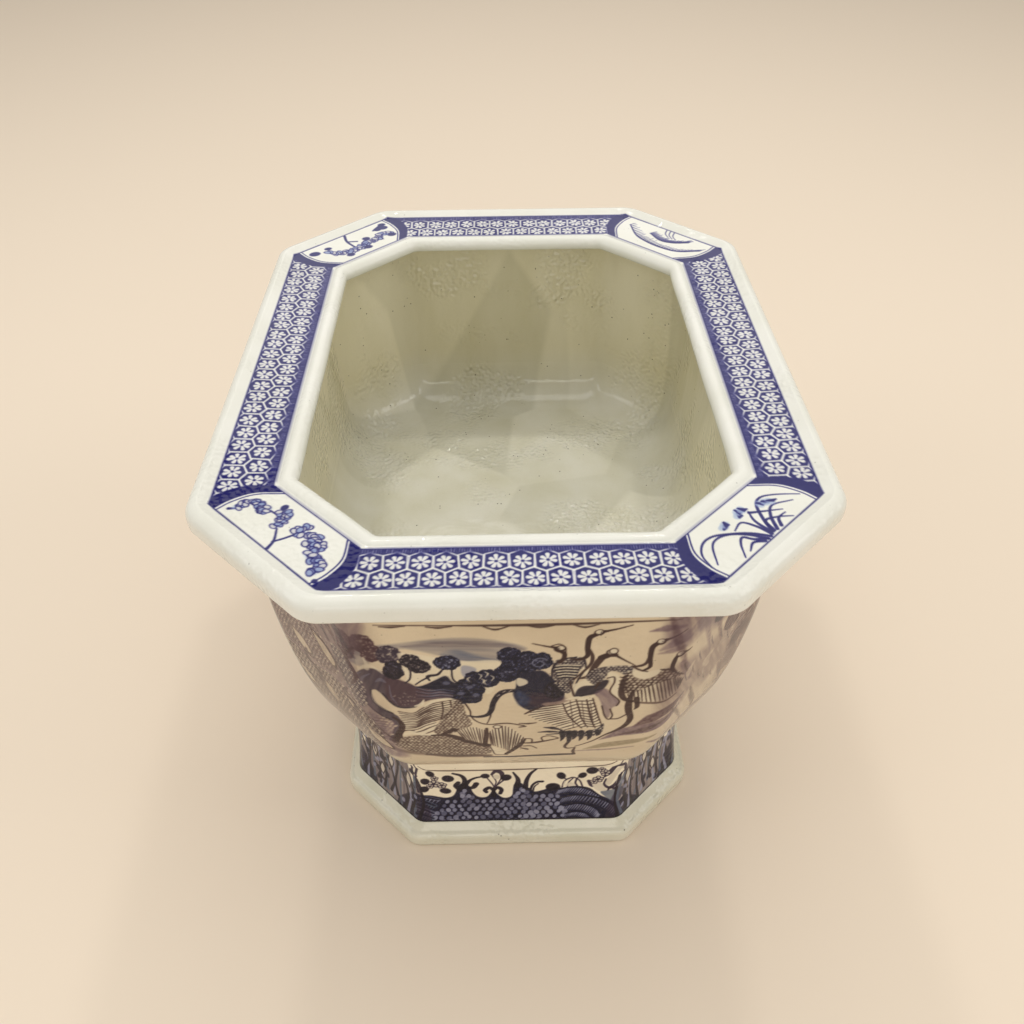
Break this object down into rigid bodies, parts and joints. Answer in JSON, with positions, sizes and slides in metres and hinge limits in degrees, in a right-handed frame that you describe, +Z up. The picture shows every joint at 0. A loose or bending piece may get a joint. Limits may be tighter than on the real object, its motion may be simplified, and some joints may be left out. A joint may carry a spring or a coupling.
{
  "type": "jardiniere on stand",
  "caption": "Octagonal glazed ceramic floor planter with a flanged lip, a swelling painted bowl and a separate low hollow stand that carries it.",
  "frame": {"origin": "centre of the bounding box at floor level, under the middle of the stand", "axes": "+Z up from the floor, +Y along the long way of the pot, +X along its short way"},
  "size_m": [0.39, 0.504, 0.329],
  "materials": {
    "lip_glaze": "gloss",
    "bowl_glaze": "gloss",
    "inner_glaze": "gloss",
    "foot_ring_glaze": "satin",
    "collar_glaze": "gloss",
    "bare_clay": "matte",
    "stand_glaze": "gloss",
    "stand_foot_glaze": "gloss"
  },
  "bodies": {
    "stand": {"stand_foot": "stand_foot_glaze", "stand_wall": "stand_glaze", "stand_collar": "collar_glaze", "stand_seat": "bare_clay"},
    "jardiniere": {"bowl_foot_ring": "foot_ring_glaze", "bowl_wall": "bowl_glaze", "bowl_floor": "inner_glaze", "bowl_cove": "inner_glaze", "lip_flange": "lip_glaze"}
  },
  "joints": [
    {"name": "jardiniere_lift", "type": "slide", "parent": "stand", "child": "jardiniere", "axis": [0, 0, 1], "range_m": [0, 0.1]}
  ]
}
